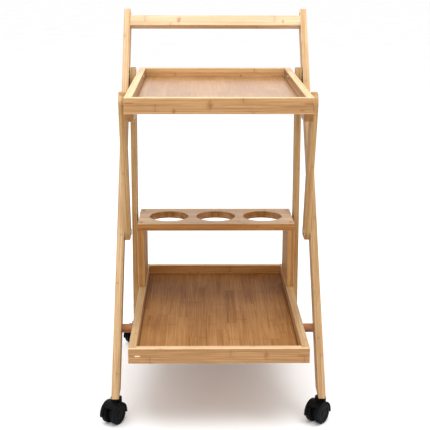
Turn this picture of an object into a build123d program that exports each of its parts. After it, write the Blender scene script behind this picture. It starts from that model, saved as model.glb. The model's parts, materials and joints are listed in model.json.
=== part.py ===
from build123d import *
import math
import os

# Two-tier bamboo serving cart with a bottle rack and a push handle, on four twin-wheel casters.
# Millimetres. +Z is up, +X is the right-hand side seen from the front, and +Y runs from the
# front end to the handle end. The origin is on the floor, under the middle of the trays.

os.makedirs("parts", exist_ok=True)

SIDES = {"left": -1, "right": 1}
EDGE = 1.5  # softened edges of the bamboo boards

# ---- Side frames: every member is a straight plank seen from the side as a (y, z) outline ----
LEG_WIDTH = 40.0
LONG_LEG_THICKNESS = 14.5
INNER_LEG_THICKNESS = 12.5  # struts and rear legs
LONG_LEG_INNER = 190.5  # half the distance between the long legs
REAR_LEG_INNER = 176.5  # half the distance between the rear legs
LEG_BOTTOM = 56.0
LONG_LEG_TOP = 761.0  # upper end of the long leg's front edge
REAR_LEG_TOP = 636.0
STRUT_TOP = 624.0
STRUT_BOTTOM = 311.5

STRUT_JOINT = (-50.3, 325.0)  # bolt where the strut crosses the long leg
APEX_PIVOT = (176.0, 616.5)  # the rear leg's hinge, on the long leg and the top tray
TRAY_PIVOT = (-168.5, 158.0)  # the lower tray's hinge, on the long leg
REAR_LEG_FOOT = (161.8, LEG_BOTTOM)
LONG_LEG_SLOPE = 0.76  # dy / dz of the centre lines
STRUT_SLOPE = -0.296
REAR_LEG_SLOPE = 0.03

# ---- Trays: two boards, two sides and a thin panel held in a groove ----
BOARD_HEIGHT = 30.0
BOARD_THICKNESS = 15.0
LAP = 5.0  # what is left of the end board over a side board's end
GROOVE_DEPTH = 5.0
PANEL_THICKNESS = 5.0
TONGUE_THICKNESS = 4.0  # the panel's edge, let into the boards' groove
PANEL_GAP = 0.4  # between the panel's raised field and the boards
PANEL_LIFT = 5.0  # underside of the panel above the boards' lower edge
TOP_TRAY_HALF = 175.0
TOP_TRAY_FRONT = -226.0
TOP_TRAY_BACK = 298.0
TOP_TRAY_LOW = 595.0
LOWER_TRAY_HALF = 170.0
LOWER_TRAY_FRONT = -298.0
LOWER_TRAY_BACK = 241.0
LOWER_TRAY_LOW = 136.0
CLEAT_INNER = 158.0
CLEAT_HEIGHT = 18.5
CLEAT_FRONT = -200.0
CLEAT_BACK = 150.0

# ---- Bottle rack ----
RACK_HALF = 171.7
RACK_FRONT = 67.6
RACK_BACK = 207.7
RACK_TOP = 309.7
RACK_THICKNESS = 15.7
SUPPORT_INNER = 157.0
BOTTLE_HOLE_RADIUS = 43.0
BOTTLE_PITCH = 104.8

# ---- Handle ----
HANDLE_TOP = 747.5  # upper edge of the rail's front face
HANDLE_BOTTOM = 726.0
HANDLE_THICKNESS = 15.0

# ---- Pins, screws and bolts ----
DOWEL_RADIUS = 8.7
TENON_RADIUS = 5.0
TENON_LENGTH = 9.0
DOWEL_END_GAP = 0.4  # between the dowel's shoulder and the lower tray, and past its tenon
SOCKET_DEPTH = 8.0  # dowels and pins sunk in a leg
REST_PIN_RADIUS = 4.0
REST_PIN_OVERHANG = 1.0  # past the inner face of the lower tray's side board
REST_GAP = 0.2
BOLT_RADIUS = 3.0
SCREW_RADIUS = 2.0
SCREW_HEAD_RADIUS = 4.0
SCREW_HEAD_DEPTH = 2.5
RUNNING = 0.05  # radial clearance of a hinge pin in its bore

# ---- Casters ----
WHEEL_RADIUS = 20.5
WHEEL_INNER = 5.2  # along the axle, from the caster's middle plane
WHEEL_OUTER = 15.6
WHEEL_ROUND = 3.5
TREAD_CHAMFER = 1.0
DISH_DEPTH = 1.0
HUB_EDGE_RADIUS = 6.6
HUB_FOOT_RADIUS = 7.2
HOOD_INNER = 21.6
HOOD_OUTER = 23.8
HOOD_HALF = 15.5
HOOD_ARC = 196.0  # degrees of the wheels that the hood covers
NOTCH_HALF = 9.5  # opening in the hood's front, over the treads
NOTCH_INNER = 13.0  # radius at which the opening starts
NOTCH_START = 48.0  # degrees from the top of the hood
NOTCH_END = 110.0
WEB_HALF = 4.4
WEB_OVERLAP = 0.5  # the web runs into the hood's band
AXLE_BOSS_RADIUS = 7.8
CROWN_RADIUS = 11.0
CROWN_BOTTOM = 28.5
CROWN_TOP = 49.0
BOSS_RADIUS = 7.0
BOSS_TOP = 53.6
BOSS_ROUND = 1.0
AXLE_RADIUS = 3.0
AXLE_HALF = 13.0
AXLE_END_GAP = 0.2
PIVOT_RADIUS = 2.5  # lower end of the stem, inside the hood
PIVOT_BOTTOM = 36.0
PIVOT_END_GAP = 0.4
STEM_RADIUS = 3.5
STEM_LENGTH = 22.0
COLLAR_RADIUS = 7.0
COLLAR_BOTTOM = 54.0
TRAIL = 9.5  # from the swivel axis to the axle
AXLE_ANGLES = {"left": -31.0, "right": -39.0}  # the axles at rest, from +X about +Z


def centre_y(through, slope, z):
    """Where a leaning member's centre line stands at height z."""
    return through[0] + slope * (z - through[1])


def half_run(slope):
    """Half of a leaning member's width, measured level along Y."""
    return LEG_WIDTH / 2 * math.sqrt(1 + slope * slope)


def from_side(side, inner, outer):
    """Lower X of the layer between two distances from the middle, on one side of the cart."""
    return min(side * inner, side * outer)


def extrude_outline(points, x_low, thickness):
    """Extrude a (y, z) outline along +X and soften its outline edges."""
    with BuildSketch(Plane.YZ.offset(x_low)) as outline:
        with BuildLine():
            Polyline(*points, close=True)
        make_face()
    plank = extrude(outline.sketch, amount=thickness)
    fillet(plank.faces().filter_by(Axis.X).edges(), EDGE)


def bar_along_x(y, z, radius, x_start, x_end, mode=Mode.ADD):
    """A round bar or bore along X."""
    with BuildSketch(Plane.YZ.offset(min(x_start, x_end))) as section:
        with Locations((y, z)):
            Circle(radius)
    extrude(section.sketch, amount=abs(x_end - x_start), mode=mode)


def bar_along_z(x, y, radius, z_low, z_high, mode=Mode.ADD):
    """A round bar or bore along Z."""
    with BuildSketch(Plane.XY.offset(z_low)) as section:
        with Locations((x, y)):
            Circle(radius)
    extrude(section.sketch, amount=z_high - z_low, mode=mode)


def block(x_low, x_high, y_low, y_high, z_low, z_high, mode=Mode.ADD):
    """A rectangular block between three pairs of limits."""
    with BuildSketch(Plane.XY.offset(z_low)) as section:
        with Locations(((x_low + x_high) / 2, (y_low + y_high) / 2)):
            Rectangle(x_high - x_low, y_high - y_low)
    extrude(section.sketch, amount=z_high - z_low, mode=mode)


def screw(head, inward, length, gap=0.0, mode=Mode.ADD):
    """A countersunk wood screw, or its hole: head is the middle of the flat head's face."""
    profile_plane = Plane(origin=head, x_dir=side_direction(inward), z_dir=third_direction(inward))
    with BuildSketch(profile_plane) as profile:
        with BuildLine():
            Polyline(
                (0, 0),
                (SCREW_HEAD_RADIUS + gap, 0),
                (SCREW_RADIUS + gap, SCREW_HEAD_DEPTH),
                (SCREW_RADIUS + gap, length - SCREW_RADIUS),
                (0, length),
                close=True,
            )
        make_face()
    revolve(profile.sketch, axis=Axis(head, inward), mode=mode)


def side_direction(inward):
    """A direction square to a screw's axis."""
    return (0, 1, 0) if abs(inward[1]) < 0.5 else (1, 0, 0)


def third_direction(inward):
    """The sketch normal that makes a screw's length run along its local Y."""
    return tuple(Vector(*side_direction(inward)).cross(Vector(*inward)))


def save(piece, label):
    """Name one finished piece and write its file."""
    piece.part.label = label
    export_step(piece.part, f"parts/{label}.step")


# Screw places, shared by each screw and the pieces it runs through.
STRUT_SCREW_HEIGHTS = (608.0, 588.5)
HANDLE_MIDDLE_Z = (HANDLE_TOP + HANDLE_BOTTOM) / 2
LEAN_COS = 1 / math.sqrt(1 + LONG_LEG_SLOPE**2)
LEAN_SIN = LONG_LEG_SLOPE * LEAN_COS
HANDLE_MIDDLE = (
    centre_y(STRUT_JOINT, LONG_LEG_SLOPE, HANDLE_MIDDLE_Z)
    - half_run(LONG_LEG_SLOPE)
    + HANDLE_THICKNESS / 2 * LEAN_COS,
    HANDLE_MIDDLE_Z - HANDLE_THICKNESS / 2 * LEAN_SIN,
)
HANDLE_SCREW_LENGTH = 40.0
STRUT_SCREW_LENGTH = 24.0
RACK_SCREW_X = 164.4
RACK_SCREW_INSET = 16.0
RACK_SCREW_LENGTH = 38.0
SUPPORT_SCREW_X = 164.6
SUPPORT_SCREW_INSET = 35.0
SUPPORT_SCREW_LENGTH = 50.0
CLEAT_SCREW_X = 169.6
CLEAT_SCREW_YS = (-90.0, 60.0)
CLEAT_SCREW_LENGTH = 32.0
HOLE_GAP = 0.02  # between a screw or bolt and the wood it holds
BOLT_HEAD_RADIUS = 4.5
BOLT_HEAD_HEIGHT = 2.0
BOLT_RIM = 0.5
APEX_BOLT_END = 199.0  # blind, inside the long leg
APEX_WASHER_RADIUS = 8.0
WASHER_GAP = 0.15  # each side of a washer that a moving leg turns against
STRUT_WASHER_RADIUS = 5.5
NUT_RADIUS = 6.0
NUT_HEIGHT = 2.0


def leg_socket(x, y):
    """The bore for a caster stem, up into a leg's lower end."""
    bar_along_z(x, y, STEM_RADIUS, LEG_BOTTOM, LEG_BOTTOM + STEM_LENGTH, Mode.SUBTRACT)


# ======================= Side frames =======================

LONG_LEG_OUTER = LONG_LEG_INNER + LONG_LEG_THICKNESS
LONG_LEG_MIDDLE = (LONG_LEG_INNER + LONG_LEG_OUTER) / 2
STRUT_INNER = LONG_LEG_INNER - INNER_LEG_THICKNESS
REAR_LEG_OUTER = REAR_LEG_INNER + INNER_LEG_THICKNESS
REAR_LEG_MIDDLE = (REAR_LEG_INNER + REAR_LEG_OUTER) / 2
LONG_LEG_FOOT_Y = centre_y(STRUT_JOINT, LONG_LEG_SLOPE, LEG_BOTTOM)
DOWEL_SHOULDER = LOWER_TRAY_HALF + DOWEL_END_GAP
TENON_END = DOWEL_SHOULDER - TENON_LENGTH

long_front_top = centre_y(STRUT_JOINT, LONG_LEG_SLOPE, LONG_LEG_TOP) - half_run(LONG_LEG_SLOPE)
LONG_LEG_OUTLINE = [
    (LONG_LEG_FOOT_Y - half_run(LONG_LEG_SLOPE), LEG_BOTTOM),
    (LONG_LEG_FOOT_Y + half_run(LONG_LEG_SLOPE), LEG_BOTTOM),
    (long_front_top + LEG_WIDTH * LEAN_COS, LONG_LEG_TOP - LEG_WIDTH * LEAN_SIN),
    (long_front_top, LONG_LEG_TOP),
]

for name, side in SIDES.items():
    with BuildPart() as long_leg:
        extrude_outline(
            LONG_LEG_OUTLINE, from_side(side, LONG_LEG_INNER, LONG_LEG_OUTER), LONG_LEG_THICKNESS
        )
        bar_along_x(
            *STRUT_JOINT,
            BOLT_RADIUS + HOLE_GAP,
            side * LONG_LEG_INNER,
            side * LONG_LEG_OUTER,
            Mode.SUBTRACT,
        )
        bar_along_x(
            *APEX_PIVOT,
            BOLT_RADIUS + HOLE_GAP,
            side * LONG_LEG_INNER,
            side * APEX_BOLT_END,
            Mode.SUBTRACT,
        )
        bar_along_x(
            *TRAY_PIVOT,
            DOWEL_RADIUS,
            side * LONG_LEG_INNER,
            side * (LONG_LEG_INNER + SOCKET_DEPTH),
            Mode.SUBTRACT,
        )
        screw(
            (side * LONG_LEG_OUTER, *HANDLE_MIDDLE),
            (-side, 0, 0),
            HANDLE_SCREW_LENGTH,
            HOLE_GAP,
            Mode.SUBTRACT,
        )
        leg_socket(side * LONG_LEG_MIDDLE, LONG_LEG_FOOT_Y)
    save(long_leg, f"long_leg_{name}")

with BuildPart() as handle_rail:
    rail_front_y = centre_y(STRUT_JOINT, LONG_LEG_SLOPE, HANDLE_TOP) - half_run(LONG_LEG_SLOPE)
    rail_low_y = centre_y(STRUT_JOINT, LONG_LEG_SLOPE, HANDLE_BOTTOM) - half_run(LONG_LEG_SLOPE)
    back_y = HANDLE_THICKNESS * LEAN_COS
    back_z = -HANDLE_THICKNESS * LEAN_SIN
    with BuildSketch(Plane.YZ.offset(-LONG_LEG_INNER)):
        with BuildLine():
            Polyline(
                (rail_low_y, HANDLE_BOTTOM),
                (rail_low_y + back_y, HANDLE_BOTTOM + back_z),
                (rail_front_y + back_y, HANDLE_TOP + back_z),
                (rail_front_y, HANDLE_TOP),
                close=True,
            )
        make_face()
    extrude(amount=2 * LONG_LEG_INNER)
    fillet(handle_rail.edges().filter_by(Axis.X), EDGE)
    for side in SIDES.values():
        screw(
            (side * LONG_LEG_OUTER, *HANDLE_MIDDLE),
            (-side, 0, 0),
            HANDLE_SCREW_LENGTH,
            HOLE_GAP,
            Mode.SUBTRACT,
        )
save(handle_rail, "handle_rail")

STRUT_ROUND_Z = STRUT_TOP - LEG_WIDTH / 2
strut_round_y = centre_y(STRUT_JOINT, STRUT_SLOPE, STRUT_ROUND_Z)
strut_low_y = centre_y(STRUT_JOINT, STRUT_SLOPE, STRUT_BOTTOM)
STRUT_COS = 1 / math.sqrt(1 + STRUT_SLOPE**2)
STRUT_SIN = STRUT_SLOPE * STRUT_COS
strut_half = LEG_WIDTH / 2

for name, side in SIDES.items():
    with BuildPart() as strut:
        with BuildSketch(Plane.YZ.offset(from_side(side, STRUT_INNER, LONG_LEG_INNER))):
            with BuildLine():
                back_foot = (strut_low_y + half_run(STRUT_SLOPE), STRUT_BOTTOM)
                front_foot = (strut_low_y - half_run(STRUT_SLOPE), STRUT_BOTTOM)
                back_shoulder = (
                    strut_round_y + strut_half * STRUT_COS,
                    STRUT_ROUND_Z - strut_half * STRUT_SIN,
                )
                front_shoulder = (
                    strut_round_y - strut_half * STRUT_COS,
                    STRUT_ROUND_Z + strut_half * STRUT_SIN,
                )
                crest = (
                    strut_round_y + strut_half * STRUT_SIN,
                    STRUT_ROUND_Z + strut_half * STRUT_COS,
                )
                Polyline(front_shoulder, front_foot, back_foot, back_shoulder)
                ThreePointArc(back_shoulder, crest, front_shoulder)
            make_face()
        extrude(amount=INNER_LEG_THICKNESS)
        fillet(strut.faces().filter_by(Axis.X).edges(), EDGE)
        bar_along_x(
            *STRUT_JOINT,
            BOLT_RADIUS + HOLE_GAP,
            side * STRUT_INNER,
            side * LONG_LEG_INNER,
            Mode.SUBTRACT,
        )
        for z in STRUT_SCREW_HEIGHTS:
            screw(
                (side * LONG_LEG_INNER, centre_y(STRUT_JOINT, STRUT_SLOPE, z), z),
                (-side, 0, 0),
                STRUT_SCREW_LENGTH,
                HOLE_GAP,
                Mode.SUBTRACT,
            )
    save(strut, f"strut_{name}")

rear_top_y = centre_y(REAR_LEG_FOOT, REAR_LEG_SLOPE, REAR_LEG_TOP)
REAR_LEG_OUTLINE = [
    (REAR_LEG_FOOT[0] - half_run(REAR_LEG_SLOPE), LEG_BOTTOM),
    (REAR_LEG_FOOT[0] + half_run(REAR_LEG_SLOPE), LEG_BOTTOM),
    (rear_top_y + half_run(REAR_LEG_SLOPE), REAR_LEG_TOP),
    (rear_top_y - half_run(REAR_LEG_SLOPE), REAR_LEG_TOP),
]
REST_PIN_Z = LOWER_TRAY_LOW - REST_GAP - REST_PIN_RADIUS
REST_PIN_Y = centre_y(REAR_LEG_FOOT, REAR_LEG_SLOPE, REST_PIN_Z)

for name, side in SIDES.items():
    with BuildPart() as rear_leg:
        extrude_outline(
            REAR_LEG_OUTLINE, from_side(side, REAR_LEG_INNER, REAR_LEG_OUTER), INNER_LEG_THICKNESS
        )
        bar_along_x(
            *APEX_PIVOT,
            BOLT_RADIUS + RUNNING,
            side * REAR_LEG_INNER,
            side * REAR_LEG_OUTER,
            Mode.SUBTRACT,
        )
        bar_along_x(
            REST_PIN_Y,
            REST_PIN_Z,
            REST_PIN_RADIUS,
            side * REAR_LEG_INNER,
            side * (REAR_LEG_INNER + SOCKET_DEPTH),
            Mode.SUBTRACT,
        )
        leg_socket(side * REAR_LEG_MIDDLE, REAR_LEG_FOOT[0])
    save(rear_leg, f"rear_leg_{name}")

with BuildPart() as rest_pins:
    for side in SIDES.values():
        bar_along_x(
            REST_PIN_Y,
            REST_PIN_Z,
            REST_PIN_RADIUS,
            side * (LOWER_TRAY_HALF - BOARD_THICKNESS + REST_PIN_OVERHANG),
            side * (REAR_LEG_INNER + SOCKET_DEPTH),
        )
save(rest_pins, "rest_pins")

for name, side in SIDES.items():
    with BuildPart() as dowel:
        bar_along_x(
            *TRAY_PIVOT,
            DOWEL_RADIUS,
            side * DOWEL_SHOULDER,
            side * (LONG_LEG_INNER + SOCKET_DEPTH),
        )
        bar_along_x(*TRAY_PIVOT, TENON_RADIUS, side * DOWEL_SHOULDER, side * TENON_END)
    save(dowel, f"pivot_dowel_{name}")

# ======================= Fasteners of the side frames =======================


def dome_head(x_face, outward, y, z):
    """A low domed bolt head standing on the plane x = x_face, towards outward (+1 or -1)."""
    upright = Plane(origin=(x_face, y, z), x_dir=(outward, 0, 0), z_dir=(0, -outward, 0))
    rise = BOLT_HEAD_HEIGHT - BOLT_RIM
    dome_radius = (BOLT_HEAD_RADIUS**2 + rise**2) / (2 * rise)
    half_angle = math.asin(BOLT_HEAD_RADIUS / dome_radius) / 2
    dome_middle = (
        BOLT_HEAD_HEIGHT - dome_radius * (1 - math.cos(half_angle)),
        dome_radius * math.sin(half_angle),
    )
    with BuildSketch(upright) as profile:
        with BuildLine():
            Line((0, 0), (0, BOLT_HEAD_RADIUS))
            Line((0, BOLT_HEAD_RADIUS), (BOLT_RIM, BOLT_HEAD_RADIUS))
            ThreePointArc((BOLT_RIM, BOLT_HEAD_RADIUS), dome_middle, (BOLT_HEAD_HEIGHT, 0))
            Line((BOLT_HEAD_HEIGHT, 0), (0, 0))
        make_face()
    revolve(profile.sketch, axis=Axis((x_face, y, z), (1, 0, 0)))


with BuildPart() as strut_bolts:
    for side in SIDES.values():
        bar_along_x(*STRUT_JOINT, BOLT_RADIUS, side * (STRUT_INNER - NUT_HEIGHT), side * LONG_LEG_OUTER)
        dome_head(side * LONG_LEG_OUTER, side, *STRUT_JOINT)
save(strut_bolts, "strut_bolts")

with BuildPart() as strut_nuts:
    for side in SIDES.values():
        with BuildSketch(Plane.YZ.offset(from_side(side, STRUT_INNER - NUT_HEIGHT, STRUT_INNER))):
            with Locations(STRUT_JOINT):
                RegularPolygon(NUT_RADIUS, 6)
                Circle(BOLT_RADIUS + HOLE_GAP, mode=Mode.SUBTRACT)
        extrude(amount=NUT_HEIGHT)
save(strut_nuts, "strut_nuts")

TOP_TRAY_INNER = TOP_TRAY_HALF - BOARD_THICKNESS
with BuildPart() as apex_bolts:
    for side in SIDES.values():
        bar_along_x(*APEX_PIVOT, BOLT_RADIUS, side * TOP_TRAY_INNER, side * APEX_BOLT_END)
        dome_head(side * TOP_TRAY_INNER, -side, *APEX_PIVOT)
save(apex_bolts, "apex_bolts")

with BuildPart() as apex_washers:
    for side in SIDES.values():
        for inner, outer in (
            (TOP_TRAY_HALF, REAR_LEG_INNER - WASHER_GAP),
            (REAR_LEG_OUTER + WASHER_GAP, LONG_LEG_INNER),
        ):
            bar_along_x(*APEX_PIVOT, APEX_WASHER_RADIUS, side * inner, side * outer)
            bar_along_x(
                *APEX_PIVOT, BOLT_RADIUS + HOLE_GAP, side * inner, side * outer, Mode.SUBTRACT
            )
save(apex_washers, "apex_washers")

with BuildPart() as strut_screws:
    for side in SIDES.values():
        for z in STRUT_SCREW_HEIGHTS:
            screw(
                (side * LONG_LEG_INNER, centre_y(STRUT_JOINT, STRUT_SLOPE, z), z),
                (-side, 0, 0),
                STRUT_SCREW_LENGTH,
            )
save(strut_screws, "strut_screws")

with BuildPart() as strut_washers:
    for side in SIDES.values():
        for z in STRUT_SCREW_HEIGHTS:
            place = (centre_y(STRUT_JOINT, STRUT_SLOPE, z), z)
            bar_along_x(*place, STRUT_WASHER_RADIUS, side * TOP_TRAY_HALF, side * STRUT_INNER)
            bar_along_x(
                *place,
                SCREW_RADIUS + HOLE_GAP,
                side * TOP_TRAY_HALF,
                side * STRUT_INNER,
                Mode.SUBTRACT,
            )
save(strut_washers, "strut_washers")

with BuildPart() as handle_screws:
    for side in SIDES.values():
        screw((side * LONG_LEG_OUTER, *HANDLE_MIDDLE), (-side, 0, 0), HANDLE_SCREW_LENGTH)
save(handle_screws, "handle_screws")

# ======================= Trays =======================


def end_board(half_width, y_outer, inward, z_low):
    """A tray's front or back board; inward is +1 when the tray lies towards +Y."""
    y_inner = y_outer + inward * BOARD_THICKNESS
    y_low, y_high = sorted((y_outer, y_inner))
    block(-half_width, half_width, y_low, y_high, z_low, z_low + BOARD_HEIGHT)
    board = BuildPart._get_context()
    outer_face = board.faces().sort_by(Axis.Y)[0 if inward > 0 else -1]
    fillet(board.edges().filter_by(Axis.X) + outer_face.edges().filter_by(Axis.Z), EDGE)
    rabbet_low, rabbet_high = sorted((y_outer + inward * LAP, y_inner))
    shoulder = half_width - BOARD_THICKNESS
    for side in SIDES.values():
        block(
            from_side(side, shoulder, half_width),
            from_side(side, shoulder, half_width) + BOARD_THICKNESS,
            rabbet_low,
            rabbet_high,
            z_low,
            z_low + BOARD_HEIGHT,
            Mode.SUBTRACT,
        )
    groove_low, groove_high = sorted((y_inner - inward * GROOVE_DEPTH, y_inner))
    groove_z = z_low + PANEL_LIFT
    block(
        -shoulder,
        shoulder,
        groove_low,
        groove_high,
        groove_z,
        groove_z + TONGUE_THICKNESS,
        Mode.SUBTRACT,
    )


def side_board(side, half_width, y_front, y_back, z_low):
    """A tray's side board, let into the rabbets of the end boards."""
    x_low = from_side(side, half_width - BOARD_THICKNESS, half_width)
    block(
        x_low,
        x_low + BOARD_THICKNESS,
        y_front + LAP,
        y_back - LAP,
        z_low,
        z_low + BOARD_HEIGHT,
    )
    board = BuildPart._get_context()
    fillet(board.edges().filter_by(Axis.Y), EDGE)
    groove_inner = half_width - BOARD_THICKNESS
    groove_x = from_side(side, groove_inner, groove_inner + GROOVE_DEPTH)
    groove_z = z_low + PANEL_LIFT
    block(
        groove_x,
        groove_x + GROOVE_DEPTH,
        y_front + LAP,
        y_back - LAP,
        groove_z,
        groove_z + TONGUE_THICKNESS,
        Mode.SUBTRACT,
    )


def tray_panel(half_width, y_front, y_back, z_low):
    """The tray's floor: a raised field inside the boards, and a tongue in their groove."""
    underside = z_low + PANEL_LIFT
    for inset, thickness in (
        (BOARD_THICKNESS - GROOVE_DEPTH, TONGUE_THICKNESS),
        (BOARD_THICKNESS + PANEL_GAP, PANEL_THICKNESS),
    ):
        block(
            -half_width + inset,
            half_width - inset,
            y_front + inset,
            y_back - inset,
            underside,
            underside + thickness,
        )


with BuildPart() as top_tray_front:
    end_board(TOP_TRAY_HALF, TOP_TRAY_FRONT, 1, TOP_TRAY_LOW)
save(top_tray_front, "top_tray_front")

with BuildPart() as top_tray_back:
    end_board(TOP_TRAY_HALF, TOP_TRAY_BACK, -1, TOP_TRAY_LOW)
save(top_tray_back, "top_tray_back")

with BuildPart() as top_tray_floor:
    tray_panel(TOP_TRAY_HALF, TOP_TRAY_FRONT, TOP_TRAY_BACK, TOP_TRAY_LOW)
save(top_tray_floor, "top_tray_floor")

for name, side in SIDES.items():
    with BuildPart() as top_side:
        side_board(side, TOP_TRAY_HALF, TOP_TRAY_FRONT, TOP_TRAY_BACK, TOP_TRAY_LOW)
        bar_along_x(
            *APEX_PIVOT,
            BOLT_RADIUS + HOLE_GAP,
            side * TOP_TRAY_INNER,
            side * TOP_TRAY_HALF,
            Mode.SUBTRACT,
        )
        screw(
            (
                side * LONG_LEG_INNER,
                centre_y(STRUT_JOINT, STRUT_SLOPE, STRUT_SCREW_HEIGHTS[0]),
                STRUT_SCREW_HEIGHTS[0],
            ),
            (-side, 0, 0),
            STRUT_SCREW_LENGTH,
            HOLE_GAP,
            Mode.SUBTRACT,
        )
        for y in CLEAT_SCREW_YS:
            screw(
                (side * CLEAT_SCREW_X, y, TOP_TRAY_LOW - CLEAT_HEIGHT),
                (0, 0, 1),
                CLEAT_SCREW_LENGTH,
                HOLE_GAP,
                Mode.SUBTRACT,
            )
    save(top_side, f"top_tray_side_{name}")

for name, side in SIDES.items():
    with BuildPart() as cleat:
        x_low = from_side(side, CLEAT_INNER, TOP_TRAY_HALF)
        block(
            x_low,
            x_low + TOP_TRAY_HALF - CLEAT_INNER,
            CLEAT_FRONT,
            CLEAT_BACK,
            TOP_TRAY_LOW - CLEAT_HEIGHT,
            TOP_TRAY_LOW,
        )
        fillet(cleat.faces().sort_by(Axis.Z)[0].edges(), EDGE)
        screw(
            (
                side * LONG_LEG_INNER,
                centre_y(STRUT_JOINT, STRUT_SLOPE, STRUT_SCREW_HEIGHTS[1]),
                STRUT_SCREW_HEIGHTS[1],
            ),
            (-side, 0, 0),
            STRUT_SCREW_LENGTH,
            HOLE_GAP,
            Mode.SUBTRACT,
        )
        for y in CLEAT_SCREW_YS:
            screw(
                (side * CLEAT_SCREW_X, y, TOP_TRAY_LOW - CLEAT_HEIGHT),
                (0, 0, 1),
                CLEAT_SCREW_LENGTH,
                HOLE_GAP,
                Mode.SUBTRACT,
            )
    save(cleat, f"top_tray_cleat_{name}")

with BuildPart() as cleat_screws:
    for side in SIDES.values():
        for y in CLEAT_SCREW_YS:
            screw(
                (side * CLEAT_SCREW_X, y, TOP_TRAY_LOW - CLEAT_HEIGHT), (0, 0, 1), CLEAT_SCREW_LENGTH
            )
save(cleat_screws, "cleat_screws")

with BuildPart() as lower_tray_front:
    end_board(LOWER_TRAY_HALF, LOWER_TRAY_FRONT, 1, LOWER_TRAY_LOW)
save(lower_tray_front, "lower_tray_front")

with BuildPart() as lower_tray_back:
    end_board(LOWER_TRAY_HALF, LOWER_TRAY_BACK, -1, LOWER_TRAY_LOW)
save(lower_tray_back, "lower_tray_back")

with BuildPart() as lower_tray_floor:
    tray_panel(LOWER_TRAY_HALF, LOWER_TRAY_FRONT, LOWER_TRAY_BACK, LOWER_TRAY_LOW)
save(lower_tray_floor, "lower_tray_floor")

SUPPORT_SCREW_YS = (RACK_FRONT + SUPPORT_SCREW_INSET, RACK_BACK - SUPPORT_SCREW_INSET)
RACK_SCREW_YS = (RACK_FRONT + RACK_SCREW_INSET, RACK_BACK - RACK_SCREW_INSET)
for name, side in SIDES.items():
    with BuildPart() as lower_side:
        side_board(side, LOWER_TRAY_HALF, LOWER_TRAY_FRONT, LOWER_TRAY_BACK, LOWER_TRAY_LOW)
        bar_along_x(
            *TRAY_PIVOT,
            TENON_RADIUS + RUNNING,
            side * (TENON_END - DOWEL_END_GAP),
            side * LOWER_TRAY_HALF,
            Mode.SUBTRACT,
        )
        for y in SUPPORT_SCREW_YS:
            screw(
                (side * SUPPORT_SCREW_X, y, LOWER_TRAY_LOW),
                (0, 0, 1),
                SUPPORT_SCREW_LENGTH,
                HOLE_GAP,
                Mode.SUBTRACT,
            )
    save(lower_side, f"lower_tray_side_{name}")

# ======================= Bottle rack on the lower tray =======================

LOWER_TRAY_RIM = LOWER_TRAY_LOW + BOARD_HEIGHT
RACK_UNDERSIDE = RACK_TOP - RACK_THICKNESS
RACK_MIDDLE_Y = (RACK_FRONT + RACK_BACK) / 2

with BuildPart() as rack_panel:
    block(-RACK_HALF, RACK_HALF, RACK_FRONT, RACK_BACK, RACK_UNDERSIDE, RACK_TOP)
    fillet(rack_panel.faces().filter_by(Axis.Z).edges(), EDGE)
    with Locations(*[(step * BOTTLE_PITCH, RACK_MIDDLE_Y, RACK_TOP) for step in (-1, 0, 1)]):
        Hole(BOTTLE_HOLE_RADIUS)
    rims = rack_panel.edges().filter_by(GeomType.CIRCLE).filter_by(
        lambda rim: abs(rim.radius - BOTTLE_HOLE_RADIUS) < 0.01
    )
    fillet(rims, EDGE)
    for side in SIDES.values():
        for y in RACK_SCREW_YS:
            screw(
                (side * RACK_SCREW_X, y, RACK_TOP),
                (0, 0, -1),
                RACK_SCREW_LENGTH,
                HOLE_GAP,
                Mode.SUBTRACT,
            )
save(rack_panel, "rack_panel")

for name, side in SIDES.items():
    with BuildPart() as support:
        x_low = from_side(side, SUPPORT_INNER, RACK_HALF)
        block(
            x_low,
            x_low + RACK_HALF - SUPPORT_INNER,
            RACK_FRONT,
            RACK_BACK,
            LOWER_TRAY_RIM,
            RACK_UNDERSIDE,
        )
        fillet(support.edges().filter_by(Axis.Z), EDGE)
        for y in RACK_SCREW_YS:
            screw(
                (side * RACK_SCREW_X, y, RACK_TOP),
                (0, 0, -1),
                RACK_SCREW_LENGTH,
                HOLE_GAP,
                Mode.SUBTRACT,
            )
        for y in SUPPORT_SCREW_YS:
            screw(
                (side * SUPPORT_SCREW_X, y, LOWER_TRAY_LOW),
                (0, 0, 1),
                SUPPORT_SCREW_LENGTH,
                HOLE_GAP,
                Mode.SUBTRACT,
            )
    save(support, f"rack_support_{name}")

with BuildPart() as rack_screws:
    for side in SIDES.values():
        for y in RACK_SCREW_YS:
            screw((side * RACK_SCREW_X, y, RACK_TOP), (0, 0, -1), RACK_SCREW_LENGTH)
save(rack_screws, "rack_screws")

with BuildPart() as support_screws:
    for side in SIDES.values():
        for y in SUPPORT_SCREW_YS:
            screw((side * SUPPORT_SCREW_X, y, LOWER_TRAY_LOW), (0, 0, 1), SUPPORT_SCREW_LENGTH)
save(support_screws, "support_screws")

# ======================= Casters =======================


def stems(label, x_middle, y):
    """The two fixed stems of the front or the rear legs: wood thread, collar and swivel pin."""
    with BuildPart() as pair:
        for side in SIDES.values():
            x = side * x_middle
            bar_along_z(x, y, PIVOT_RADIUS, PIVOT_BOTTOM, COLLAR_BOTTOM)
            bar_along_z(x, y, COLLAR_RADIUS, COLLAR_BOTTOM, LEG_BOTTOM)
            bar_along_z(x, y, STEM_RADIUS, LEG_BOTTOM, LEG_BOTTOM + STEM_LENGTH)
    save(pair, label)


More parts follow.
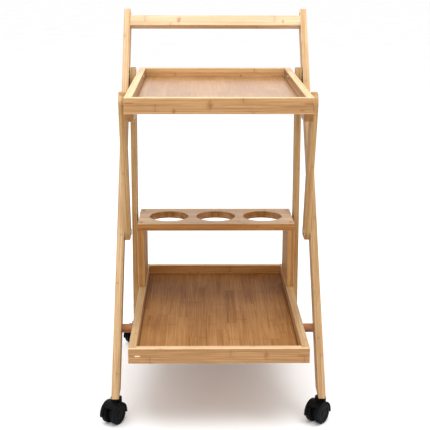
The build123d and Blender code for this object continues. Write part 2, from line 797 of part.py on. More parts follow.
def caster(label, x_stem, y_stem, axle_angle):
    """Hood, axle and twin wheels of one caster."""
    angle = math.radians(axle_angle)
    along_axle = Vector(math.cos(angle), math.sin(angle), 0)
    up = Vector(0, 0, 1)
    trailing = along_axle.cross(up)
    centre = Vector(x_stem, y_stem, WHEEL_RADIUS) + trailing * TRAIL
    axle_axis = Axis(centre, along_axle)
    # Local X along the axle and local Y up, for profiles that turn about the axle.
    upright = Plane(origin=centre, x_dir=along_axle, z_dir=along_axle.cross(up))
    # Square to the axle, for outlines that are extruded along it; local X points to the stem.
    across = Plane(origin=centre, x_dir=trailing * -1, z_dir=along_axle)

    def axle_bar(radius, start, end, mode=Mode.ADD):
        with BuildSketch(across.offset(start)) as section:
            Circle(radius)
        extrude(section.sketch, amount=end - start, mode=mode)

    with BuildPart() as hood:
        half_arc = math.radians(HOOD_ARC / 2)
        first = up * math.cos(half_arc) - along_axle.cross(up) * math.sin(half_arc)
        start_plane = Plane(origin=centre, x_dir=along_axle, z_dir=along_axle.cross(first))
        band_middle = (HOOD_INNER + HOOD_OUTER) / 2
        with BuildSketch(start_plane):
            with Locations((0, band_middle)):
                Rectangle(2 * HOOD_HALF, HOOD_OUTER - HOOD_INNER)
        revolve(axis=axle_axis, revolution_arc=HOOD_ARC)
        bar_along_z(x_stem, y_stem, CROWN_RADIUS, CROWN_BOTTOM, CROWN_TOP)
        bar_along_z(x_stem, y_stem, BOSS_RADIUS, CROWN_TOP, BOSS_TOP)
        fillet(hood.edges().filter_by(GeomType.CIRCLE).group_by(Axis.Z)[-1], BOSS_ROUND)
        for start in (WEB_HALF, -2 * HOOD_HALF):
            axle_bar(HOOD_INNER, start, start + 2 * HOOD_HALF - WEB_HALF, Mode.SUBTRACT)
        with BuildSketch(across.offset(-WEB_HALF)):
            Circle(HOOD_INNER + WEB_OVERLAP)
            with Locations((0, -HOOD_OUTER)):
                Rectangle(2 * HOOD_OUTER, 2 * HOOD_OUTER, mode=Mode.SUBTRACT)
            Circle(AXLE_BOSS_RADIUS)
        extrude(amount=2 * WEB_HALF)
        with BuildSketch(across.offset(-NOTCH_HALF)):
            with BuildLine():
                reach = 2 * HOOD_OUTER
                start_angle = math.radians(NOTCH_START)
                end_angle = math.radians(NOTCH_END)
                Polyline(
                    (0, 0),
                    (-reach * math.sin(start_angle), reach * math.cos(start_angle)),
                    (-reach * math.sin(end_angle), reach * math.cos(end_angle)),
                    close=True,
                )
            make_face()
            Circle(NOTCH_INNER, mode=Mode.SUBTRACT)
        extrude(amount=2 * NOTCH_HALF, mode=Mode.SUBTRACT)
        axle_bar(AXLE_RADIUS, -WEB_HALF, WEB_HALF, Mode.SUBTRACT)
        bar_along_z(
            x_stem,
            y_stem,
            PIVOT_RADIUS + RUNNING,
            PIVOT_BOTTOM - PIVOT_END_GAP,
            BOSS_TOP,
            Mode.SUBTRACT,
        )
    save(hood, f"{label}_hood")

    with BuildPart() as axle:
        axle_bar(AXLE_RADIUS, -AXLE_HALF, AXLE_HALF)
    save(axle, f"{label}_axle")

    for letter, side in (("a", -1), ("b", 1)):
        with BuildPart() as wheel:
            with BuildSketch(upright):
                with BuildLine():
                    bore = AXLE_RADIUS + RUNNING
                    bore_end = side * (AXLE_HALF + AXLE_END_GAP)
                    face = side * WHEEL_OUTER
                    dish = side * (WHEEL_OUTER - DISH_DEPTH)
                    dish_edge_radius = WHEEL_RADIUS - 2 * WHEEL_ROUND
                    tread_end = (side * (WHEEL_OUTER - WHEEL_ROUND), WHEEL_RADIUS)
                    face_edge = (face, WHEEL_RADIUS - WHEEL_ROUND)
                    bevel = WHEEL_ROUND * (1 - math.sqrt(0.5))
                    round_middle = (side * (WHEEL_OUTER - bevel), WHEEL_RADIUS - bevel)
                    Polyline(
                        face_edge,
                        (face, dish_edge_radius),
                        (dish, dish_edge_radius - DISH_DEPTH),
                        (dish, HUB_FOOT_RADIUS),
                        (face, HUB_EDGE_RADIUS),
                        (face, 0),
                        (bore_end, 0),
                        (bore_end, bore),
                        (side * WHEEL_INNER, bore),
                        (side * WHEEL_INNER, WHEEL_RADIUS - TREAD_CHAMFER),
                        (side * (WHEEL_INNER + TREAD_CHAMFER), WHEEL_RADIUS),
                        tread_end,
                    )
                    ThreePointArc(tread_end, round_middle, face_edge)
                make_face()
            revolve(axis=axle_axis)
        save(wheel, f"{label}_wheel_{letter}")


stems("front_caster_stems", LONG_LEG_MIDDLE, LONG_LEG_FOOT_Y)
stems("rear_caster_stems", REAR_LEG_MIDDLE, REAR_LEG_FOOT[0])
for name, side in SIDES.items():
    caster(f"front_{name}_caster", side * LONG_LEG_MIDDLE, LONG_LEG_FOOT_Y, AXLE_ANGLES[name])
    caster(f"rear_{name}_caster", side * REAR_LEG_MIDDLE, REAR_LEG_FOOT[0], AXLE_ANGLES[name])
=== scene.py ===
"""A two-tier bamboo serving cart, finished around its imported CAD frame."""

import itertools
import json
import math
from collections import namedtuple

import bpy
from mathutils import Matrix, Vector


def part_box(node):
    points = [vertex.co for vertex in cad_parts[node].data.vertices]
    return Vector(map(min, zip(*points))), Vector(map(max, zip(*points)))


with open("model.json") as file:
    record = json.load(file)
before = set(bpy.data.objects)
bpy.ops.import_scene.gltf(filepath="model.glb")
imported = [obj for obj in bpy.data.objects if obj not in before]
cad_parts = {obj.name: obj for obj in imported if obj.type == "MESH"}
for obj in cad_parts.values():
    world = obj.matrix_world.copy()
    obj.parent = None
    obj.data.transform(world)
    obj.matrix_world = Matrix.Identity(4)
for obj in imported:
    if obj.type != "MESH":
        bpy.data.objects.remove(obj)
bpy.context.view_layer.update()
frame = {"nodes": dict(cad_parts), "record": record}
nodes = frame["nodes"]

X = Vector((1, 0, 0))
Y = Vector((0, 1, 0))
Z = Vector((0, 0, 1))
SIDES = ("left", "right")
PER_METRE = 1000.0  # patterns are laid out in millimetres, and the frame is in metres


# ------------------------------------------------------------------ camera and studio

CAMERA_PLACE = (-0.0356, -2.0564, 0.8736)
CAMERA_PITCH = 14.36  # degrees below level
CAMERA_YAW = 0.85
CAMERA_ROLL = 0.135
CAMERA_LENS = 84.34
CAMERA_SHIFT = 0.0015
SURROUND_STRENGTH = 1.12
FLOOR_HALF = 30.0
FLOOR_TONES = [(0.3, (0.86, 0.86, 0.86)), (0.7, (0.90, 0.90, 0.90))]


def make_camera():
    """The camera stands in front of the narrow end, a little above the handle, looking down."""
    pitch = math.radians(CAMERA_PITCH)
    yaw = math.radians(CAMERA_YAW)
    roll = math.radians(CAMERA_ROLL)
    forward = Vector(
        (math.sin(yaw) * math.cos(pitch), math.cos(yaw) * math.cos(pitch), -math.sin(pitch))
    )
    level_right = Vector((math.cos(yaw), -math.sin(yaw), 0))
    level_up = level_right.cross(forward)
    right = level_right * math.cos(roll) + level_up * math.sin(roll)
    up = level_up * math.cos(roll) - level_right * math.sin(roll)
    data = bpy.data.cameras.new("camera")
    data.sensor_width = 36.0
    data.lens = CAMERA_LENS
    data.shift_x = CAMERA_SHIFT
    data.clip_end = 2 * FLOOR_HALF
    camera = bpy.data.objects.new("camera", data)
    turn = Matrix((right, up, -forward)).transposed().to_4x4()
    camera.matrix_world = Matrix.Translation(CAMERA_PLACE) @ turn
    bpy.context.scene.collection.objects.link(camera)
    bpy.context.scene.camera = camera


def area_light(name, place, target, width, height, power):
    data = bpy.data.lights.new(name, "AREA")
    data.shape = "RECTANGLE"
    data.size = width
    data.size_y = height
    data.energy = power
    light = bpy.data.objects.new(name, data)
    aim = (Vector(target) - Vector(place)).to_track_quat("-Z", "Y")
    light.matrix_world = Matrix.Translation(place) @ aim.to_matrix().to_4x4()
    bpy.context.scene.collection.objects.link(light)


def make_floor():
    """A pale floor that runs to the horizon."""
    mesh = bpy.data.meshes.new("studio_floor")
    corners = [(x * FLOOR_HALF, y * FLOOR_HALF, 0) for x, y in ((-1, -1), (1, -1), (1, 1), (-1, 1))]
    mesh.from_pydata(corners, [], [(0, 1, 2, 3)])
    floor = bpy.data.objects.new("studio_floor", mesh)
    bpy.context.scene.collection.objects.link(floor)
    g = Graph("studio_floor")
    tone = g.ramp(g.noise(g.place, scale=4.0, detail=2.0), FLOOR_TONES)
    mesh.materials.append(g.finish(tone, roughness=0.9))


def make_studio():
    """The floor, an even white surround and two soft boxes."""
    scene = bpy.context.scene
    scene.view_settings.view_transform = "Standard"
    world = bpy.data.worlds.new("surround")
    world.use_nodes = True
    background = world.node_tree.nodes["Background"]
    background.inputs["Color"].default_value = (1, 1, 1, 1)
    background.inputs["Strength"].default_value = SURROUND_STRENGTH
    scene.world = world
    make_floor()
    area_light("top_box", (0.1, -0.4, 2.6), (0, -0.1, 0.3), width=2.6, height=2.6, power=68)
    area_light("front_box", (-0.7, -2.8, 1.3), (0, 0, 0.2), width=1.8, height=1.2, power=7)


# ------------------------------------------------------------------ shader graphs

COAT_ROUGHNESS = 0.2


class Graph:
    """Builds one material's nodes from short calls. Values are numbers or output sockets."""

    def __init__(self, name):
        self.material = bpy.data.materials.new(name)
        self.material.use_nodes = True
        self.tree = self.material.node_tree
        self.tree.nodes.clear()
        coordinates = self.add("ShaderNodeTexCoord")
        self.place = coordinates.outputs["Object"]
        self.facing = coordinates.outputs["Normal"]

    def add(self, kind, **settings):
        node = self.tree.nodes.new(kind)
        for key, value in settings.items():
            setattr(node, key, value)
        return node

    def put(self, socket, value):
        """Link an output to a socket, or set a plain number, vector or colour on it."""
        if isinstance(value, bpy.types.NodeSocket):
            self.tree.links.new(value, socket)
        elif hasattr(socket.default_value, "__len__") and len(socket.default_value) == 4:
            socket.default_value = (*value, 1.0)
        else:
            socket.default_value = value

    def math(self, operation, a, b=0.0, clamp=False):
        node = self.add("ShaderNodeMath", operation=operation, use_clamp=clamp)
        self.put(node.inputs[0], a)
        self.put(node.inputs[1], b)
        return node.outputs[0]

    def plus(self, a, b):
        return self.math("ADD", a, b)

    def minus(self, a, b):
        return self.math("SUBTRACT", a, b)

    def times(self, a, b):
        return self.math("MULTIPLY", a, b)

    def over(self, a, b):
        return self.math("DIVIDE", a, b)

    def larger(self, a, b):
        return self.math("MAXIMUM", a, b)

    def size(self, value):
        return self.math("ABSOLUTE", value)

    def gap(self, value):
        """How far a value is from the nearest whole number."""
        return self.math("PINGPONG", value, 0.5)

    def swing(self, value, strength):
        """Turn a 0 to 1 value into one that swings evenly about 0."""
        return self.times(self.minus(value, 0.5), strength)

    def step(self, value, low, high, out_low=0.0, out_high=1.0):
        """A smooth step of value between low and high."""
        node = self.add("ShaderNodeMapRange", interpolation_type="SMOOTHSTEP")
        for socket, number in zip(node.inputs, (value, low, high, out_low, out_high)):
            self.put(socket, number)
        return node.outputs[0]

    def fade(self, value, start, end, strength=1.0):
        """The given strength where value is below start, easing to nothing at end."""
        return self.step(value, start, end, strength, 0.0)

    def dot(self, vector, axis):
        node = self.add("ShaderNodeVectorMath", operation="DOT_PRODUCT")
        self.put(node.inputs[0], vector)
        self.put(node.inputs[1], axis)
        return node.outputs["Value"]

    def combine(self, x, y, z):
        node = self.add("ShaderNodeCombineXYZ")
        for socket, value in zip(node.inputs, (x, y, z)):
            self.put(socket, value)
        return node.outputs[0]

    def noise(self, vector, scale, detail, roughness=0.55, distortion=0.0):
        node = self.add("ShaderNodeTexNoise")
        self.put(node.inputs["Vector"], vector)
        self.put(node.inputs["Scale"], scale)
        self.put(node.inputs["Detail"], detail)
        self.put(node.inputs["Roughness"], roughness)
        self.put(node.inputs["Distortion"], distortion)
        return node.outputs["Fac"]

    def random(self, vector):
        """A steady random number from 0 to 1 for each value of vector."""
        node = self.add("ShaderNodeTexWhiteNoise", noise_dimensions="3D")
        self.put(node.inputs["Vector"], vector)
        return node.outputs["Value"]

    def ramp(self, value, stops):
        node = self.add("ShaderNodeValToRGB")
        elements = node.color_ramp.elements
        while len(elements) < len(stops):
            elements.new(0.5)
        for element, (position, colour) in zip(elements, stops):
            element.position = position
            element.color = (*colour, 1.0)
        self.put(node.inputs[0], value)
        return node.outputs["Color"]

    def mix(self, factor, a, b):
        node = self.add("ShaderNodeMix", data_type="RGBA")
        self.put(node.inputs["Factor"], factor)
        colour_inputs = [socket for socket in node.inputs if socket.type == "RGBA"]
        self.put(colour_inputs[0], a)
        self.put(colour_inputs[1], b)
        return next(socket for socket in node.outputs if socket.type == "RGBA")

    def bump(self, height, distance, strength):
        node = self.add("ShaderNodeBump")
        node.inputs["Strength"].default_value = strength
        node.inputs["Distance"].default_value = distance
        self.put(node.inputs["Height"], height)
        return node.outputs[0]

    def finish(self, colour, roughness, normal=None, metallic=0.0, coat=0.0, specular=0.5):
        shader = self.add("ShaderNodeBsdfPrincipled")
        self.put(shader.inputs["Base Color"], colour)
        self.put(shader.inputs["Roughness"], roughness)
        shader.inputs["Metallic"].default_value = metallic
        shader.inputs["Specular IOR Level"].default_value = specular
        shader.inputs["Coat Weight"].default_value = coat
        shader.inputs["Coat Roughness"].default_value = COAT_ROUGHNESS
        if normal is not None:
            self.put(shader.inputs["Normal"], normal)
        output = self.add("ShaderNodeOutputMaterial")
        self.tree.links.new(shader.outputs[0], output.inputs[0])
        return self.material


# ------------------------------------------------------------------ bamboo

# Linear colours of the dark, middling and pale strips.
STRAW = [(0.0, (0.33, 0.195, 0.090)), (0.5, (0.485, 0.318, 0.170)), (1.0, (0.60, 0.430, 0.265))]
HONEY = [(0.0, (0.25, 0.118, 0.036)), (0.5, (0.35, 0.182, 0.066)), (1.0, (0.46, 0.265, 0.114))]
# GOLD is a paler HONEY: painted light for the top tray's back board, lit inside the tray.
GOLD = [(0.0, (0.41, 0.210, 0.070)), (0.5, (0.57, 0.330, 0.135)), (1.0, (0.68, 0.445, 0.22))]
RIM = [(0.0, (0.46, 0.270, 0.120)), (0.5, (0.60, 0.395, 0.210)), (1.0, (0.70, 0.50, 0.31))]
WHEAT = [(0.0, (0.29, 0.148, 0.050)), (0.5, (0.41, 0.250, 0.110)), (1.0, (0.50, 0.340, 0.180))]
# AMBER, COPPER, RUSSET and DEEP_CARAMEL: the wood's own brown, made more orange as painted shade under
# the top tray.
AMBER = [(0.0, (0.29, 0.130, 0.036)), (0.5, (0.42, 0.213, 0.075)), (1.0, (0.52, 0.300, 0.125))]
COPPER = [(0.0, (0.27, 0.105, 0.020)), (0.5, (0.38, 0.165, 0.042)), (1.0, (0.48, 0.245, 0.085))]
RUSSET = [(0.0, (0.36, 0.155, 0.036)), (0.5, (0.49, 0.235, 0.070)), (1.0, (0.60, 0.330, 0.130))]
CARAMEL = [(0.0, (0.20, 0.085, 0.023)), (0.5, (0.31, 0.150, 0.050)), (1.0, (0.43, 0.235, 0.095))]
DEEP_CARAMEL = [(0.0, (0.175, 0.066, 0.015)), (0.5, (0.295, 0.134, 0.039)), (1.0, (0.42, 0.213, 0.078))]
# The darkest brown serves real stains and also the painted shade along tray floors' edges.
STAIN_AND_SHADE = (0.13, 0.045, 0.012)
RUST = (0.24, 0.085, 0.020)
PITH = (0.84, 0.68, 0.43)
WORN = (0.93, 0.80, 0.58)
FIBRE_BUNDLE = (0.16, 0.075, 0.03)

# Lengths in millimetres.
NODE_SPACING = 290.0  # between the culm nodes of one lath
NODE_BAR = 2.2  # from its middle to its edge, along the lath
NODE_HALO = 12.0
END_LINE = 0.6  # dark line where short pieces butt
# Painted shade: the dark line where a tray's floor meets its boards.
EDGE_SHADE_WIDTH = 3.0  # dark line along a tray's floor
FIELD_INSET = 5.4  # from a floor panel's tongue to its raised field

# Random numbers are spread over this many steps, so that neighbours don't line up.
PIECE_SPREAD = 7.0
NODE_SPREAD = 13.0
FIBRE_SPREAD = 50.0
TONE_SEED = 3.7  # sets a piece's tone apart from its lath's other random number

# across and along set how often a layer of streaks changes per millimetre, times scale.
Fibres = namedtuple("Fibres", "across along scale detail roughness strength")
FINE = Fibres(across=1.0, along=0.018, scale=2.4, detail=3.0, roughness=0.7, strength=1.2)
MIDDLE = Fibres(across=1.0, along=0.012, scale=0.8, detail=2.0, roughness=0.6, strength=1.1)
BROAD = Fibres(across=0.35, along=0.006, scale=1.0, detail=2.0, roughness=0.55, strength=1.1)
CLOUD_STRENGTH = 0.5
BAR_STRENGTH = 0.30
HALO_STRENGTH = 0.10
EDGE_SHADE_STRENGTH = 0.75
WEAR_STRENGTH = 0.16
WANDER_PER_MM = 0.004

# Marks at a place along and across a board; a drift paints shade, with tones added at low and high.
Knot = namedtuple("Knot", "along across size")
Streak = namedtuple("Streak", "along across length colour")
ShadeDrift = namedtuple("ShadeDrift", "direction low high tone_low tone_high")


class Bamboo(Graph):
    """Laminated bamboo. u, v and w run across, through and along its laths, in millimetres."""

    def __init__(self, name, along, across, through, strip, seed):
        super().__init__(name)
        self.axes = (along, across, through)
        self.strip = strip
        self.seed = seed
        self.u = self.times(self.dot(self.place, across), PER_METRE)
        self.v = self.times(self.dot(self.place, through), PER_METRE)
        self.w = self.times(self.dot(self.place, along), PER_METRE)

    def tint(self, factor, colour):
        self.colour = self.mix(factor, self.colour, colour)

    def cut_laths(self, board_length):
        """Divide the wood into laths, and the laths into pieces if board_length says so."""
        # A slow wander keeps the glue lines from looking ruled.
        wander_place = self.combine(self.times(self.w, WANDER_PER_MM), self.seed, 0.0)
        wander = self.noise(wander_place, scale=1.0, detail=1.0)
        self.u_cell = self.over(self.plus(self.u, wander), self.strip[0])
        self.v_cell = self.over(self.v, self.strip[1])
        u_index = self.math("FLOOR", self.u_cell)
        v_index = self.math("FLOOR", self.v_cell)
        self.lath_random = self.random(self.combine(u_index, v_index, self.seed))
        piece_index = 0.0
        self.end_line = 0.0
        if board_length:
            stagger = self.times(self.lath_random, PIECE_SPREAD)
            run = self.plus(self.over(self.w, board_length), stagger)
            piece_index = self.math("FLOOR", run)
            self.end_line = self.fade(self.gap(run), 0.0, END_LINE / board_length)
        piece_seed = self.plus(piece_index, self.seed + TONE_SEED)
        self.piece_random = self.random(self.combine(u_index, v_index, piece_seed))

    def fibres(self, layer):
        """Streaks along the laths, shifted from piece to piece."""
        shift = self.times(self.piece_random, FIBRE_SPREAD)
        across = self.times(self.u, layer.across)
        along = self.times(self.w, layer.along)
        place = self.combine(across, self.plus(self.v, shift), along)
        return self.noise(place, layer.scale, layer.detail, layer.roughness)

    def colour_laths(self, tones, rim_tones, spread, streak, shade_drift):
        """Colour by piece, fibre and place, with a drift of painted shade; rims are the faces across
        the strips.
        """
        self.fine = self.fibres(FINE)
        tone = self.swing(self.piece_random, spread)
        for layer, strength in (
            (self.fine, FINE.strength),
            (self.fibres(MIDDLE), MIDDLE.strength * streak),
            (self.fibres(BROAD), BROAD.strength * streak),
            (self.noise(self.place, scale=9.0, detail=2.0), CLOUD_STRENGTH),
        ):
            tone = self.plus(tone, self.swing(layer, strength))
        # Painted shade: a drift darkens the tone along its direction.
        if shade_drift:
            reach = self.times(self.dot(self.place, shade_drift.direction), PER_METRE)
            tone = self.plus(tone, self.step(reach, *shade_drift[1:]))
        tone = self.math("ADD", tone, 0.5, clamp=True)
        self.colour = self.ramp(tone, tones)
        if rim_tones:
            across = self.axes[1]
            on_rim = self.step(self.size(self.dot(self.facing, across)), 0.5, 0.9)
            self.tint(on_rim, self.ramp(tone, rim_tones))

    def add_culm_nodes(self):
        """Every lath crosses a culm node now and then: a thin brown bar in a fainter halo."""
        stagger = self.times(self.lath_random, NODE_SPREAD)
        run = self.plus(self.over(self.w, NODE_SPACING), stagger)
        wobble = self.swing(self.noise(self.place, scale=160.0, detail=2.0), 0.012)
        gap = self.gap(self.plus(run, wobble))
        self.node_bar = self.fade(gap, 0.0, NODE_BAR / NODE_SPACING)
        halo = self.fade(gap, 0.0, NODE_HALO / NODE_SPACING)
        self.tint(self.times(halo, HALO_STRENGTH), STAIN_AND_SHADE)
        self.tint(self.times(self.node_bar, BAR_STRENGTH), STAIN_AND_SHADE)

    def add_knot(self, knot):
        """A ragged rusty spot with a short darker bar across the strip."""
        dw = self.over(self.minus(self.w, knot.along), knot.size)
        du = self.over(self.minus(self.u, knot.across), knot.size * 1.2)
        ripple = self.swing(self.noise(self.place, scale=220.0, detail=3.0), 1.3)
        away = self.math("SQRT", self.plus(self.times(dw, dw), self.times(du, du)))
        self.tint(self.fade(self.plus(away, ripple), 0.0, 1.1, strength=0.62), RUST)
        bar = self.fade(self.size(self.plus(dw, ripple)), 0.0, 0.5, strength=0.28)
        bar_reach = self.fade(self.size(du), 0.2, 1.7)
        self.tint(self.times(bar, bar_reach), STAIN_AND_SHADE)

    def add_streak(self, streak):
        """A soft dash along the fibres."""
        dw = self.size(self.minus(self.w, streak.along))
        du = self.size(self.minus(self.u, streak.across))
        lengthwise = self.fade(dw, 0.25 * streak.length, 0.5 * streak.length)
        mask = self.times(lengthwise, self.fade(du, 0.6, 2.2))
        mask = self.times(mask, self.step(self.fine, 0.25, 0.6, 0.4, 0.85))
        self.tint(mask, streak.colour)

    def add_seams(self, width, depth):
        """Glue lines between laths, and the butted ends of short pieces."""
        u_seam = self.fade(self.gap(self.u_cell), 0.0, width / self.strip[0])
        v_seam = self.fade(self.gap(self.v_cell), 0.0, width / self.strip[1])
        self.seam = self.larger(self.larger(u_seam, v_seam), self.end_line)
        self.tint(self.times(self.seam, depth), RUST)

    def add_painted_edge_shade(self, box):
        """Painted shade: darken a floor panel, given by its box, along the edges of its raised field.
        """
        low, high = box
        for axis, value in ((0, self.u), (1, self.w)):
            middle = (low[axis] + high[axis]) / 2 * PER_METRE
            half = (high[axis] - low[axis]) / 2 * PER_METRE - FIELD_INSET
            reach = self.size(self.minus(value, middle))
            self.tint(self.step(reach, half - EDGE_SHADE_WIDTH, half, 0.0, EDGE_SHADE_STRENGTH), STAIN_AND_SHADE)

    def add_end_grain(self):
        """End faces are darker and dotted with fibre bundles."""
        end_face = self.step(self.size(self.dot(self.facing, self.axes[0])), 0.8, 0.95)
        dots = self.add("ShaderNodeTexVoronoi", feature="F1")
        self.put(dots.inputs["Vector"], self.combine(self.u, self.v, 0.0))
        self.put(dots.inputs["Scale"], 1.1)
        bundle = self.fade(dots.outputs["Distance"], 0.15, 0.45)
        darker = self.mix(0.35, self.colour, STAIN_AND_SHADE)
        self.tint(end_face, self.mix(self.times(bundle, 0.55), darker, FIBRE_BUNDLE))

    def add_wear(self):
        """Softened edges are rubbed paler here and there."""
        along, across, through = (self.size(self.dot(self.facing, axis)) for axis in self.axes)
        flatness = self.larger(along, self.larger(across, through))
        edge = self.fade(flatness, 0.86, 0.995)
        patches = self.step(self.noise(self.place, scale=60.0, detail=3.0), 0.42, 0.62)
        self.wear = self.times(edge, patches)
        self.tint(self.times(self.wear, WEAR_STRENGTH), WORN)

    def surface(self, gloss, coat, specular):
        """Roughness and relief follow the fibres, the seams, the culm nodes and the wear."""
        rough = self.plus(gloss, self.swing(self.fine, 0.22))
        rough = self.plus(rough, self.times(self.wear, 0.12))
        height = self.minus(self.times(self.fine, 0.35), self.seam)
        height = self.plus(height, self.times(self.node_bar, 0.5))
        normal = self.bump(height, distance=0.00018, strength=0.55)
        return self.finish(self.colour, rough, normal, coat=coat, specular=specular)


def bamboo(
    node,
    along,
    across,
    through,
    strip,
    seed,
    tones=STRAW,
    rim_tones=None,
    knots=(),
    streaks=(),
    board_length=None,
    spread=0.5,
    streak=1.0,
    shade_drift=None,
    field=None,
    seam_width=0.5,
    seam_depth=0.3,
    gloss=0.38,
    coat=0.06,
    specular=0.3,
):
    """Paint a node with laminated bamboo whose fibres run along a direction.

    strip is a lath's width across and thickness through. board_length cuts the laths into
    short pieces with staggered ends. spread sets how much the pieces differ in tone, streak
    scales the lengthwise streaks, and field gives a floor panel's box for painted shade at its edges.
    """
    wood = Bamboo(node, along, across, through, strip, seed)
    wood.cut_laths(board_length)
    wood.colour_laths(tones, rim_tones, spread, streak, shade_drift)
    wood.add_culm_nodes()
    for knot in knots:
        wood.add_knot(knot)
    for mark in streaks:
        wood.add_streak(mark)
    wood.add_seams(seam_width, seam_depth)
    # Painted shade along the edges of a floor panel's field.
    if field:
        wood.add_painted_edge_shade(field)
    wood.add_end_grain()
    wood.add_wear()
    paint(node, wood.surface(gloss, coat, specular))


def paint(node, material):
    mesh = nodes[node].data
    mesh.materials.clear()
    mesh.materials.append(material)


# ------------------------------------------------------------------ wooden pieces

LEG_LATHS = (20.0, 4.84)
RAIL_LATHS = (28.0, 7.5)
BOARD_LATHS = (15.0, 6.5)
SUPPORT_LATHS = (20.0, 5.0)
RACK_LATHS = (5.2, 20.0)
FLOOR_LATHS = (20.5, 40.0)
FLOOR_PIECE_LENGTH = 210.0
RAIL_SEED = 9.0
RACK_SEED = 31.0

# Places of marks are along X and up from the board's lower edge.
TOP_FRONT_KNOTS = [Knot(-17, 17, 9.0), Knot(-83, 5, 6.0)]
TOP_FRONT_STREAKS = [Streak(-165, 20, 22, RUST), Streak(165, 19, 22, RUST), Streak(152, 7, 11, RUST)]
LOW_FRONT_KNOTS = [Knot(88, 16, 8.0)]
LOW_FRONT_STREAKS = [Streak(-153, 15, 13, PITH), Streak(156, 15, 24, RUST)]


def member_axes(node):
    """Directions along and across a leaning leg, taken from its shape in the side view."""
    mesh = nodes[node].data
    middle = sum((v.co for v in mesh.vertices), Vector()) / len(mesh.vertices)
    syy = sum((v.co.y - middle.y) ** 2 for v in mesh.vertices)
    szz = sum((v.co.z - middle.z) ** 2 for v in mesh.vertices)
    syz = sum((v.co.y - middle.y) * (v.co.z - middle.z) for v in mesh.vertices)
    angle = 0.5 * math.atan2(2 * syz, syy - szz)
    along = Vector((0, math.cos(angle), math.sin(angle)))
    return along, X.cross(along)


def shifted(marks, offset):
    """The same marks, moved across the board."""
    return [mark._replace(across=mark.across + offset) for mark in marks]


def paint_legs(seeds):
    # Painted shade: the long legs darken towards their feet.
    painted_foot_shade = ShadeDrift(Z, low=100, high=600, tone_low=-0.3, tone_high=0.05)
    for stem, tones, shade_drift in (
        ("long_leg", STRAW, painted_foot_shade),
        ("strut", WHEAT, None),
        ("rear_leg", WHEAT, None),
    ):
        for side in SIDES:
            node = f"{stem}_{side}"
            along, across = member_axes(node)
            bamboo(
                node,
                along,
                across,
                X,
                LEG_LATHS,
                next(seeds),
                tones=tones,
                streak=1.3,
                shade_drift=shade_drift,
                gloss=0.58,
                coat=0.0,
                specular=0.04,
            )


def paint_handle():
    along_leg, across_leg = member_axes("long_leg_left")
    low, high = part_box("handle_rail")
    rail_middle = (Vector(low) + Vector(high)).dot(along_leg) / 2 * PER_METRE
    knots = shifted([Knot(-82, 0, 8.0), Knot(151, -3, 4.5)], rail_middle)
    bamboo("handle_rail", X, along_leg, across_leg, RAIL_LATHS, RAIL_SEED, knots=knots)


def paint_end_boards(seeds):
    for node, tones, knots, streaks in (
        ("top_tray_front", HONEY, TOP_FRONT_KNOTS, TOP_FRONT_STREAKS),
        # The back board's paler GOLD is painted light on its lit inner face.
        ("top_tray_back", GOLD, [Knot(60, 12, 3.5)], []),
        ("lower_tray_front", HONEY, LOW_FRONT_KNOTS, LOW_FRONT_STREAKS),
        ("lower_tray_back", RUSSET, [Knot(-40, 12, 3.5)], []),
    ):
        z_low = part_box(node)[0][2] * PER_METRE
        bamboo(
            node,
            X,
            Z,
            Y,
            BOARD_LATHS,
            next(seeds),
            tones=tones,
            rim_tones=RIM,
            knots=shifted(knots, z_low),
            streaks=shifted(streaks, z_low),
            streak=1.4,
            seam_width=0.8,
            seam_depth=0.4,
        )


def paint_side_boards(seeds):
    for stem, tones, rim_tones in (
        ("top_tray_side", HONEY, RIM),
        ("top_tray_cleat", HONEY, HONEY),
        # The lower sides' darker WHEAT rims are painted shade from the top tray above them.
        ("lower_tray_side", AMBER, WHEAT),
    ):
        for side in SIDES:
            bamboo(
                f"{stem}_{side}",
                Y,
                Z,
                X,
                BOARD_LATHS,
                next(seeds),
                tones=tones,
                rim_tones=rim_tones,
                specular=0.12,
            )


def paint_rack(seeds):
    for side in SIDES:
        bamboo(
            f"rack_support_{side}",
            Z,
            Y,
            X,
            SUPPORT_LATHS,
            next(seeds),
            tones=AMBER,
            gloss=0.6,
            coat=0.0,
            specular=0.03,
        )
    bamboo(
        "rack_panel",
        X,
        Z,
        Y,
        RACK_LATHS,
        RACK_SEED,
        tones=COPPER,
        rim_tones=RIM,
        streak=1.3,
        seam_width=0.9,
        seam_depth=0.6,
        coat=0.0,
        specular=0.16,
    )


def paint_floors(seeds):
    # Painted shade: the lower floor darkens towards its back, under the top tray.
    painted_back_shade = ShadeDrift(Y, low=-100, high=200, tone_low=0.08, tone_high=-0.3)
    for node, tones, shade_drift, gloss, coat, specular in (
        ("top_tray_floor", CARAMEL, None, 0.32, 0.2, 0.5),
        ("lower_tray_floor", DEEP_CARAMEL, painted_back_shade, 0.5, 0.0, 0.06),
    ):
        bamboo(
            node,
            Y,
            X,
            Z,
            FLOOR_LATHS,
            next(seeds),
            tones=tones,
            board_length=FLOOR_PIECE_LENGTH,
            spread=0.28,
            streak=0.9,
            shade_drift=shade_drift,
            field=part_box(node),
            gloss=gloss,
            coat=coat,
            specular=specular,
        )


def paint_wood():
    seeds = itertools.count(1.0)
    paint_legs(seeds)
    paint_handle()
    paint_end_boards(seeds)
    paint_side_boards(seeds)
    paint_rack(seeds)
    paint_floors(seeds)


# ------------------------------------------------------------------ dowels, plastics and metals

PLASTIC_GREYS = ((0.35, 0.003), (0.62, 0.006), (0.8, 0.014))


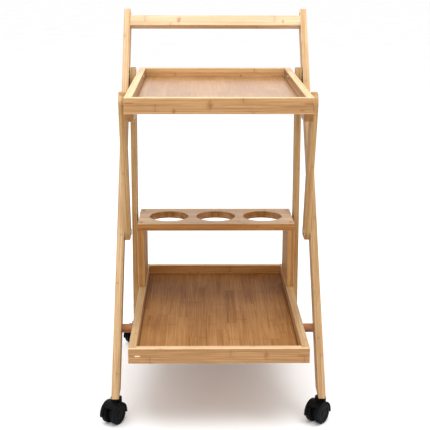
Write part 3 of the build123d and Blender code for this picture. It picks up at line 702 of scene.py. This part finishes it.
def dowel_wood(name):
    """Reddish brown turned wood, with its grain along X."""
    g = Graph(name)
    stretched = g.add("ShaderNodeMapping")
    g.put(stretched.inputs["Vector"], g.place)
    stretched.inputs["Scale"].default_value = (40, 900, 900)
    grain = g.noise(stretched.outputs[0], scale=1.0, detail=4.0, roughness=0.6)
    colour = g.ramp(grain, [(0.3, (0.24, 0.095, 0.036)), (0.7, (0.38, 0.170, 0.078))])
    normal = g.bump(grain, distance=0.0002, strength=0.4)
    return g.finish(colour, 0.5, normal, specular=0.15)


def black_plastic(name, base_roughness):
    """Moulded black plastic: fine spark texture and faint greyish scuffs."""
    g = Graph(name)
    spark = g.noise(g.place, scale=2600.0, detail=2.0)
    scuff = g.noise(g.place, scale=180.0, detail=4.0, roughness=0.7, distortion=0.6)
    greys = [(position, (grey, grey, grey)) for position, grey in PLASTIC_GREYS]
    rough = g.plus(base_roughness, g.swing(scuff, 0.3))
    normal = g.bump(spark, distance=0.00006, strength=0.5)
    return g.finish(g.ramp(scuff, greys), rough, normal, specular=0.05)


def plated_steel(name, dark, pale):
    """Plated steel, mottled between two tones."""
    g = Graph(name)
    patch = g.noise(g.place, scale=420.0, detail=4.0, roughness=0.7)
    colour = g.ramp(patch, [(0.3, dark), (0.7, pale)])
    rough = g.plus(0.3, g.times(patch, 0.2))
    normal = g.bump(patch, distance=0.00005, strength=0.4)
    return g.finish(colour, rough, normal, metallic=1.0)


def nylon(name):
    """Off-white washers, slightly mottled."""
    g = Graph(name)
    patch = g.noise(g.place, scale=500.0, detail=3.0)
    colour = g.ramp(patch, [(0.3, (0.62, 0.61, 0.57)), (0.7, (0.75, 0.74, 0.70))])
    return g.finish(colour, 0.5, g.bump(patch, distance=0.00005, strength=0.4))


def paint_small_parts():
    """Paint by material slot, and then the rack's screws, whose plating is darker."""
    finishes = {
        "beech_dowel": dowel_wood("beech_dowel"),
        "black_plastic_wheel": black_plastic("black_plastic_wheel", 0.5),
        "black_plastic_hood": black_plastic("black_plastic_hood", 0.38),
        "zinc_steel": plated_steel("zinc_steel", (0.36, 0.36, 0.37), (0.62, 0.62, 0.63)),
        "white_nylon": nylon("white_nylon"),
    }
    for part in frame["record"]["subparts"]:
        if part["material_slot"] in finishes:
            paint(part["node"], finishes[part["material_slot"]])
    paint("rack_screws", plated_steel("bronzed_steel", (0.06, 0.036, 0.018), (0.13, 0.080, 0.042)))


make_camera()
make_studio()
paint_wood()
paint_small_parts()
